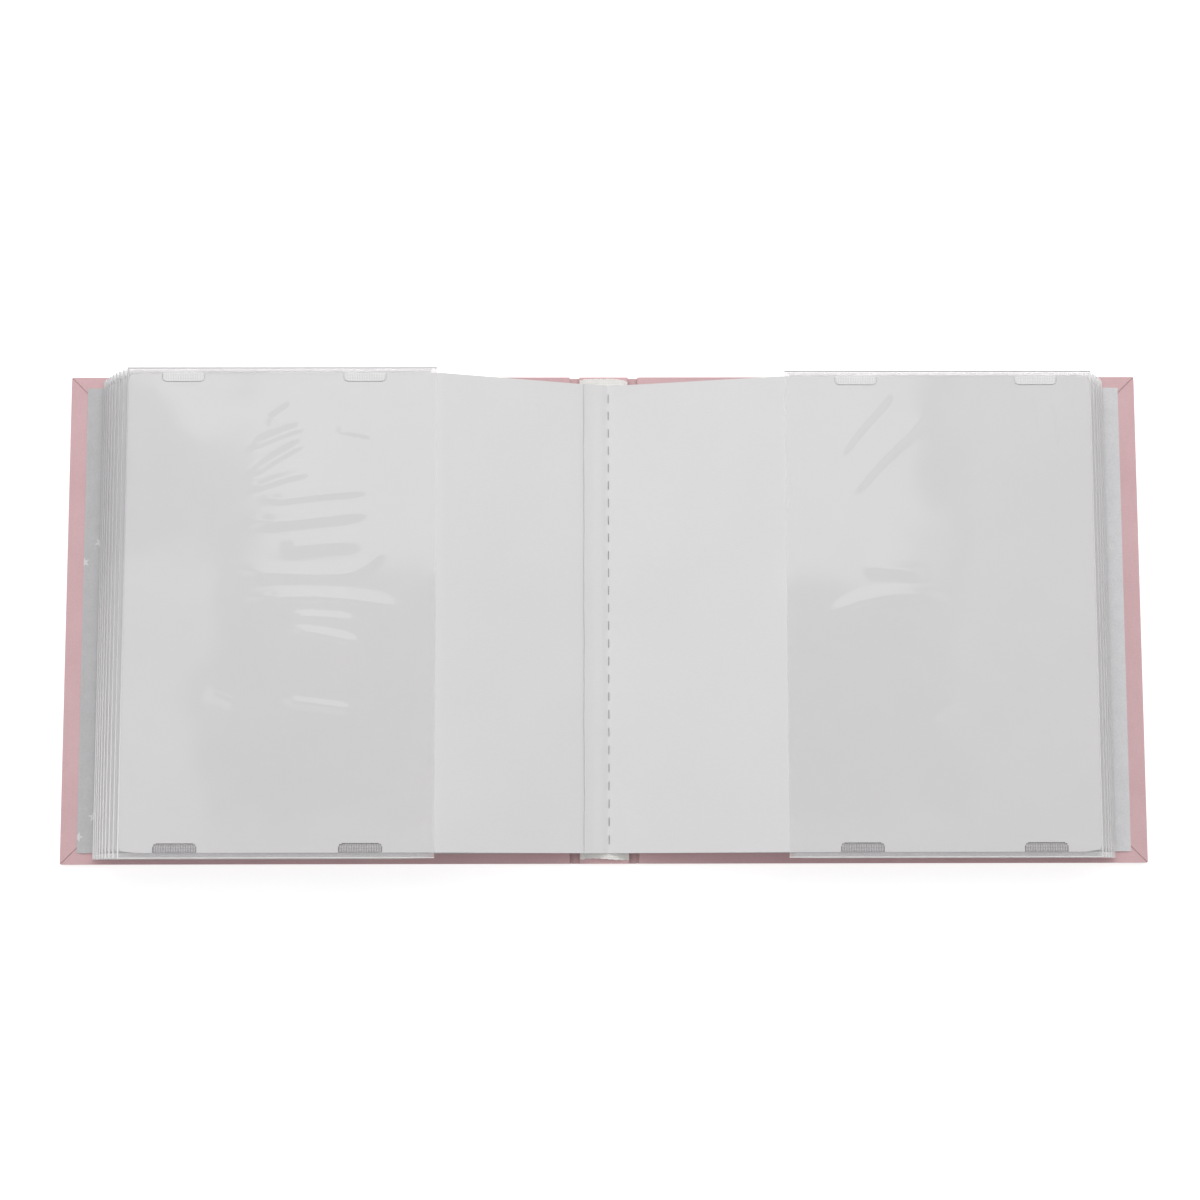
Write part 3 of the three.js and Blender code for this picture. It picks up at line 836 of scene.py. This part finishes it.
def leaf_card(place):
    """One card, from the sewn edge through the crease to the fore-edge."""
    side = place["side"]
    us, vs = card_grid(FOLD_REACH if place is FIRST_RIGHT else 0.0)
    x, z, slope = leaf_line(place, us)
    end = us[-1]
    # the pocket's card isn't quite flat
    wave = 0.05 * np.sin(us / 23 + place["level"]) * np.clip((us - STRIP) / 30, 0, 1)
    top = np.zeros((len(us), len(vs), 3))
    bottom = np.zeros_like(top)
    for i, u in enumerate(us):
        nx, nz = -side * math.sin(slope[i]), math.cos(slope[i])
        for j, v in enumerate(vs):
            # the outer corners are rounded off
            across = max(0.0, abs(v) - (CARD_HALF - CORNER))
            along = max(0.0, u - (end - CORNER))
            shift = CORNER_SHIFT * min(across, along)
            px = x[i] - side * shift
            py = v - math.copysign(shift, v)
            lift = wave[i] * math.cos(v / 40)
            top[i, j] = (px + nx * CARD / 2, py, z[i] + nz * CARD / 2 + lift)
            bottom[i, j] = (px - nx * CARD / 2, py, z[i] - nz * CARD / 2 + lift)
    mid_u, mid_v = (us[1:] + us[:-1]) / 2, (vs[1:] + vs[:-1]) / 2
    keep = np.array([[not in_notch(u, v) for v in mid_v] for u in mid_u])
    obj = sheet_object(f"{place['name']}_card", top, bottom, keep)
    dress(obj, CARDSTOCK)
    shade_smooth(obj, 30)
    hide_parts(f"{place['name']}_strip_card", f"{place['name']}_pocket_card")
    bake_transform(obj)


def ridge(u, v, u0, v0, u1, v1, bow, width, height):
    """A soft raised wrinkle along a bowed line, fading out at both ends."""
    du, dv = u1 - u0, v1 - v0
    length = math.hypot(du, dv)
    t = ((u - u0) * du + (v - v0) * dv) / length**2
    across = ((v - v0) * du - (u - u0) * dv) / length - bow * 4 * t * (1 - t)
    fade = np.clip(t * 4, 0, 1) * np.clip((1 - t) * 4, 0, 1)
    fade = fade * fade * (3 - 2 * fade)
    return height * fade * np.exp(-((across / width) ** 2))


# Wrinkles as (u0, v0, u1, v1, bow, width, height), in millimetres: from one end at u0, v0
# to the other at u1, v1, with u from the crease and v from the middle towards the head
LEFT_WRINKLES = [
    (41, 62.2, 64, 53.2, 0.8, 1.5, 0.16),
    (41, 57.5, 64, 43.3, 0.8, 1.5, 0.16),
    (40, 46.5, 64, 39.1, 0.8, 1.4, 0.14),
    (20, 40.2, 60, 35.7, 0.4, 1.6, 0.15),
    (20, 33.2, 65, 28.4, -0.4, 2.1, 0.22),
    (23, 22.6, 53, 20.2, 0.6, 2.5, 0.16),
    (25, 11.8, 67, 12.9, -0.6, 1.9, 0.18),
    (17, 21.5, 33, 11.2, -2.2, 1.6, 0.13),
    (11, 0.5, 66, 2.8, 2.4, 2.0, 0.2),
    (26, -3.6, 49, -2.1, 0.4, 1.4, 0.12),
    (24, -11.6, 49, -6.6, 0.6, 1.6, 0.15),
    (25, -33.6, 52, -30.1, 0.4, 1.6, 0.16),
    (20, 57.6, 35, 60.2, 0.5, 1.4, 0.13),
    (46.5, 69, 57, 61.8, 0.5, 1.3, 0.12),
    (64, -31.8, 76, -27.6, 0.6, 1.8, 0.11),
]
RIGHT_WRINKLES = [
    (16.5, 49.5, 37, 74, 1.2, 1.7, 0.16),
    (20.5, 37, 49, 66, 1.4, 1.8, 0.17),
    (25, 15.1, 48, 12.2, 0.3, 2.2, 0.15),
    (12, -2.4, 56, 3.5, 4.6, 2.0, 0.2),
    (92.2, 52, 88.6, 76, -1.8, 1.1, 0.07),
    (75, 75.5, 91, 77, 1.2, 0.9, 0.14),
    (83.4, 74, 86.2, 59.5, 0.6, 0.9, 0.06),
    (46, -36.5, 58, -30.5, 0.8, 1.9, 0.08),
]


def film_height(place, u, v):
    """How far the upper film stands proud of its flat place."""
    level = place["level"]
    lift = 0.035 * np.sin(u / 9 + 1.3 * level) * np.cos(v / 17 + level)
    lift = lift + 0.02 * np.sin(u / 5 + v / 11 + level) * np.sin(v / 6.5 - u / 23)
    if place["top"]:
        for item in LEFT_WRINKLES if place["side"] < 0 else RIGHT_WRINKLES:
            lift = lift + ridge(u, v, *item)
    return lift


def film_points(place, us, lower_us, vs):
    """The film's grid of points, and each row's length from the crease. Its section runs
    over the card, round the fore-edge and back under it."""
    turn = [
        (POCKET - FOLD_START + FOLD_BULGE * math.sin(a), FILM_GAP * math.cos(a))
        for a in np.linspace(0, math.pi, 9)[1:-1]
    ]
    section = [(u, FILM_GAP) for u in us] + turn + [(u, -FILM_GAP) for u in lower_us[::-1]]
    lengths = np.array([u for u, height in section])
    heights = np.array([height for u, height in section])
    upper = np.arange(len(section)) < len(us)
    u, v = np.meshgrid(lengths, vs, indexing="ij")
    # the film lies calm along its edges
    from_fold = np.clip((POCKET - 2 - u) / 8, 0, 1)
    from_ends = np.clip((80 - np.abs(v)) / 6, 0, 1)
    from_mouth = np.clip((u - FILM_START) / 4, 0, 1)
    lift = film_height(place, u, v) * (from_fold * from_ends) * from_mouth
    # at head and tail the two films lie close together, and wave more at the tail
    pinch = np.clip((np.abs(v) - CARD_HALF) / PINCH, 0, 1)
    waves = np.sin(u / 2.3 + 2 * place["level"]) * np.sin(u / 7.1 + v)
    ripple = (0.022 - 0.018 * np.sign(v)) * pinch * waves
    z = heights[:, None] * (1 - 0.55 * pinch) + np.where(upper[:, None], lift, 0) + ripple
    x = crease_x(place) + place["side"] * u
    return np.stack([x, v, place["flat"] + z], axis=-1), lengths


def leaf_film(place):
    """The pocket: an upper and a lower film joined by the fold at the fore-edge."""
    coarse_step = 6.0
    step = 0.65 if place["top"] else coarse_step
    stops = [FILM_START, FILM_START + RIM]
    for middle in NOTCH_MIDDLES:
        stops += [middle - OPENING_HALF_WIDTH, middle + OPENING_HALF_WIDTH]
    stops += [POCKET - CARD_SHORT, POCKET - FOLD_START]
    half = [CARD_HALF - OPENING_DEPTH, CARD_HALF, FILM_HALF - RIM, FILM_HALF]
    vs = spaced([-v for v in half[::-1]] + half, step)
    points, lengths = film_points(place, spaced(stops, step), spaced(stops, coarse_step), vs)
    mid_u, mid_v = (lengths[1:] + lengths[:-1]) / 2, (vs[1:] + vs[:-1]) / 2
    u, v = np.meshgrid(mid_u, np.abs(mid_v), indexing="ij")
    keep = np.ones(u.shape, bool)
    for middle in NOTCH_MIDDLES:
        beside = np.abs(u - middle) < OPENING_HALF_WIDTH - 0.01
        keep &= ~(beside & (v > CARD_HALF - OPENING_DEPTH) & (v < CARD_HALF))
    paint = np.full(u.shape, CLEAR)
    paint[v > CARD_HALF] = LIP
    paint[u > POCKET - CARD_SHORT] = FOLD
    paint[u < FILM_START + RIM] = MOUTH
    paint[v > FILM_HALF - RIM] = EDGE
    obj = film_object(f"{place['name']}_film", points, keep, paint)
    # the lower leaves take the milky painted-light copy of the film at lip and rim
    milky = FILM_STACK_LIGHT[place["side"]]
    fold = FILM_FOLD[place["side"]]
    if place["top"]:
        dress(obj, FILM, FILM_LIP, FILM_RIM, fold, FILM_MOUTH)
    else:
        dress(obj, FILM, milky, milky, fold, FILM_MOUTH)
    shade_smooth(obj, 60)
    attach(obj, f"{place['name']}_pocket")
    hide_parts(f"{place['name']}_film_sleeve")


def weld_point(c, r):
    """A point on a weld, c along it and r out from its inner edge: its place along the
    leaf, its place towards head or tail, its height and how far it is up a rib."""
    half_height, rib_height = 0.16, 0.14
    corner_width, corner_depth = 0.9, 0.8
    fade = 0.4
    # the inner corners follow the notch's rounded corners
    beside = max(0.0, abs(c) - (WELD_HALF_WIDTH - corner_width)) / corner_width
    inset = max(0.0, corner_depth - (r + 0.1)) * beside
    along = c * (1 - 0.06 * max(0, corner_depth - r))
    out = CARD_HALF - WELD_DEPTH + r + inset * 0.5
    # the ribs fade at the weld's edges and are knurled along their length
    rib = 0.5 - 0.5 * math.cos((c / (2 * WELD_HALF_WIDTH) + 0.5) * WELD_RIBS * 2 * math.pi)
    strength = min(r / fade, 1.0) * min((WELD_DEPTH - r) / fade + 0.3, 1.0)
    strength *= 0.72 + 0.28 * math.cos(r * 2 * math.pi)
    return along, out, half_height + rib_height * rib * strength, rib * strength


def weld_faces(base, columns, rows):
    """Faces of a closed weld whose points start at base: top and underside, then sides."""

    def at(layer, c, r):
        return base + layer * rows * columns + c * rows + r

    faces = []
    for layer in (0, 1):
        for c in range(columns - 1):
            for r in range(rows - 1):
                near = (at(layer, c, r), at(layer, c + 1, r))
                far = (at(layer, c + 1, r + 1), at(layer, c, r + 1))
                faces.append(near + far)
    for c in range(columns - 1):
        for r in (0, rows - 1):
            faces.append((at(0, c, r), at(0, c + 1, r), at(1, c + 1, r), at(1, c, r)))
    for r in range(rows - 1):
        for c in (0, columns - 1):
            faces.append((at(0, c, r), at(0, c, r + 1), at(1, c, r + 1), at(1, c, r)))
    return faces


def leaf_welds(place):
    """The four knurled welds of a pocket, as one piece."""
    # the tail welds take the painted-shade copy of the material, the head welds the
    # painted-highlight copy
    tail_shaded, head_lit = 0, 1
    side = place["side"]
    crease = crease_x(place)
    per_rib = 4 if place["top"] else 2
    columns = np.linspace(-WELD_HALF_WIDTH, WELD_HALF_WIDTH, WELD_RIBS * per_rib + 1)
    rows = np.concatenate([[0, 0.15, 0.35], np.linspace(0.6, WELD_DEPTH, 10)])
    vertices, faces, ribbing, paint = [], [], [], []
    for middle in NOTCH_MIDDLES:
        for end in (-1, 1):
            sides = weld_faces(len(vertices), len(columns), len(rows))
            faces += sides
            paint += [head_lit if end > 0 else tail_shaded] * len(sides)
            for layer in (1, -1):
                for c in columns:
                    for r in rows:
                        along, out, height, rib = weld_point(c, r)
                        x = crease + side * (middle + along)
                        z = place["flat"] + layer * height
                        vertices.append((x * MM, end * out * MM, z * MM))
                        # the rib value also colours the weld: painted shade at the tail and
                        # painted highlight at the head, in the valleys and along the edges
                        ribbing.append(rib)
    mesh = bpy.data.meshes.new(f"{place['name']}_welds")
    mesh.from_pydata(vertices, [], faces)
    mesh.attributes.new("rib", "FLOAT", "POINT").data.foreach_set("value", ribbing)
    mesh.polygons.foreach_set("material_index", np.array(paint, np.int32))
    face_outwards(mesh)
    obj = new_object(f"{place['name']}_welds", mesh)
    dress(obj, WELD, WELD_HEAD)
    shade_smooth(obj, 70)
    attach(obj, f"{place['name']}_pocket")


def bezier(p0, p1, p2, p3, count):
    """Points along a cubic curve."""
    t = np.linspace(0, 1, count)[:, None]
    return (1 - t) ** 3 * p0 + 3 * (1 - t) ** 2 * t * p1 + 3 * (1 - t) * t**2 * p2 + t**3 * p3


def fold_half(place, reach, name, replaces=None, above=0.0, tip=False):
    """Card that leaves the sewn fold and lies along the leaf, up to a length reach. With
    a tip it bends early, runs straight along the leaf and ends in a curled torn edge."""
    bend_length, pull, blend_length = 2.2, 0.35, 2.6
    curl_height = 0.42
    side = place["side"]
    cosine, sine = math.cos(place["slope"]), math.sin(place["slope"])
    x1 = place["x"] + side * (reach * cosine) - side * above * sine
    z1 = place["z"] + reach * sine + above * cosine
    direction = np.array([side * cosine, sine])
    start = np.array([THREAD_X, LINING_TOP + 0.12])
    end = np.array([x1, z1])
    bend_end = end - direction * (reach - bend_length) if tip else end
    leaving = math.radians(12)
    start_way = np.array([side * math.cos(leaving), math.sin(leaving)])
    gap = np.linalg.norm(bend_end - start)
    curve = bezier(
        start,
        start + start_way * gap * pull,
        bend_end - direction * gap * pull,
        bend_end,
        13,
    )
    if tip:
        straight = np.linspace(0, 1, 8)[1:, None]
        curve = np.concatenate([curve, bend_end + (end - bend_end) * straight])
    ways = np.gradient(curve, axis=0)
    ways /= np.linalg.norm(ways, axis=1)[:, None]
    normals = np.stack([-ways[:, 1], ways[:, 0]], 1) * side
    normals *= np.sign(normals[:, 1:2])
    vs = spaced([-CARD_HALF, CARD_HALF], 3)
    wander = 0.06 * np.sin(vs / 7.3) + 0.05 * np.sin(vs / 2.9 + 1)
    top = np.zeros((len(curve), len(vs), 3))
    bottom = np.zeros_like(top)
    half = CARD / 2
    last = len(curve) - 1
    for i, (p, n) in enumerate(zip(curve, normals)):
        curl = curl_height * max(0.0, (i - last + 4) / 4) ** 1.5 if tip else 0.0
        for j, v in enumerate(vs):
            edge = side * wander[j] if tip and i == last else 0.0
            top[i, j] = (p[0] + n[0] * half + edge, v, p[1] + n[1] * half + curl)
            bottom[i, j] = (p[0] - n[0] * half + edge, v, p[1] - n[1] * half + curl)
    obj = sheet_object(name, top, bottom)
    dress(obj, CARDSTOCK)
    shade_smooth(obj, 40)
    if replaces:
        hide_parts(replaces)
    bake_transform(obj)


# Stage, light and camera


def floor():
    """A white floor that keeps the shadow and looks a little brighter than it lights."""
    half = 6.0
    glow_strength = 0.56
    mesh = bpy.data.meshes.new("floor")
    corners = [(-half, -half, 0), (half, -half, 0), (half, half, 0), (-half, half, 0)]
    mesh.from_pydata(corners, [], [(0, 1, 2, 3)])
    obj = new_object("floor", mesh)
    obj.location.z = -0.0002
    m = Nodes("floor")
    m.set(Base_Color=(0.82, 0.82, 0.82, 1), Roughness=0.9, Specular_IOR_Level=0.1)
    glow = m.tree.nodes.new("ShaderNodeEmission")
    glow.inputs["Color"].default_value = (1, 1, 1, 1)
    glow.inputs["Strength"].default_value = glow_strength
    both = m.tree.nodes.new("ShaderNodeAddShader")
    m.link(m.shader.outputs[0], both.inputs[0])
    m.link(glow.outputs[0], both.inputs[1])
    rays = m.tree.nodes.new("ShaderNodeLightPath").outputs
    seen = m.math("MAXIMUM", rays["Is Camera Ray"], rays["Is Transmission Ray"])
    choice = m.tree.nodes.new("ShaderNodeMixShader")
    m.link(seen, choice.inputs["Fac"])
    m.link(m.shader.outputs[0], choice.inputs[1])
    m.link(both.outputs[0], choice.inputs[2])
    m.link(choice.outputs[0], m.output.inputs["Surface"])
    dress(obj, m.material)


# Lights as (name, place, width, depth, power). The edges of their mirror images in the
# films make the photo's bright and dim zones.
LIGHTS = [
    ("key", (0.03, 1.0, 1.1), 1.1, 0.7, 11.4),
    ("overhead", (-0.005, 0.34, 1.2), 0.56, 0.34, 0.82),
    ("wing", (-0.335, 0.325, 1.2), 0.11, 0.05, 0.024),
    ("left", (-0.81, -0.32, 1.15), 1.0, 1.0, 2.5),
    ("right", (0.8, 0.05, 1.15), 1.0, 1.3, 1.7),
    ("tail", (0, -0.33, 1.15), 1.3, 0.6, 0.9),
]
WING_TURN = math.radians(-38.7)


def area_light(name, place, width, depth, power):
    """A rectangular light that points straight down."""
    data = bpy.data.lights.new(name, "AREA")
    data.shape = "RECTANGLE"
    data.size = width
    data.size_y = depth
    data.energy = power
    obj = bpy.data.objects.new(name, data)
    bpy.context.scene.collection.objects.link(obj)
    obj.location = place
    return obj


def lights():
    """All lights. The key is aimed at the album, and the wing is turned on its axis."""
    lamps = {name: area_light(name, *values) for name, *values in LIGHTS}
    to_album = -lamps["key"].location
    lamps["key"].rotation_euler = to_album.to_track_quat("-Z", "Y").to_euler()
    lamps["wing"].rotation_euler.z = WING_TURN


def studio_world():
    """Even light from all sides."""
    world = bpy.data.worlds.new("studio")
    world.use_nodes = True
    background = world.node_tree.nodes["Background"]
    background.inputs["Color"].default_value = (1.0, 0.99, 0.985, 1)
    background.inputs["Strength"].default_value = 0.42
    bpy.context.scene.world = world


# The camera that was fitted to the photo, in metres, radians and pixels
CAMERA_AT = (-0.00594, -0.09253, 0.80324)
PITCH, YAW, ROLL = 0.1225, -0.0468, 0.0452
FOCAL_PX = 2380.14
PHOTO_PX = 1200
SENSOR_MM = 36


def photo_camera():
    """The camera over the open album."""
    data = bpy.data.cameras.new("camera")
    data.sensor_width = SENSOR_MM
    data.lens = FOCAL_PX / PHOTO_PX * SENSOR_MM
    data.clip_start = 0.01
    obj = bpy.data.objects.new("camera", data)
    bpy.context.scene.collection.objects.link(obj)
    turn = Matrix.Rotation(YAW, 4, "Z") @ Matrix.Rotation(PITCH, 4, "X")
    turn = turn @ Matrix.Rotation(ROLL, 4, "Z")
    obj.matrix_world = Matrix.Translation(CAMERA_AT) @ turn
    bpy.context.scene.camera = obj


# The scene, piece by piece

for cover_side in ("front", "back"):
    dress_cover(cover_side)
mitre_groove_shades("front", "front_cover")
mitre_groove_shades("back", "back_cover")
dress_spine()
sewing_thread()
fold_strip(-1, "front_cover")
fold_strip(1, "back_cover")
spine_lining()
for leaf in PLACES:
    leaf_card(leaf)
    leaf_film(leaf)
    leaf_welds(leaf)
fold_half(STUB_LEAF, STUB_END, "fold_stub", "centre_fold_stub", above=CARD, tip=True)
fold_half(FIRST_RIGHT, FOLD_REACH, "fold_right")
floor()
lights()
studio_world()
photo_camera()
bpy.context.scene.view_settings.view_transform = "Standard"
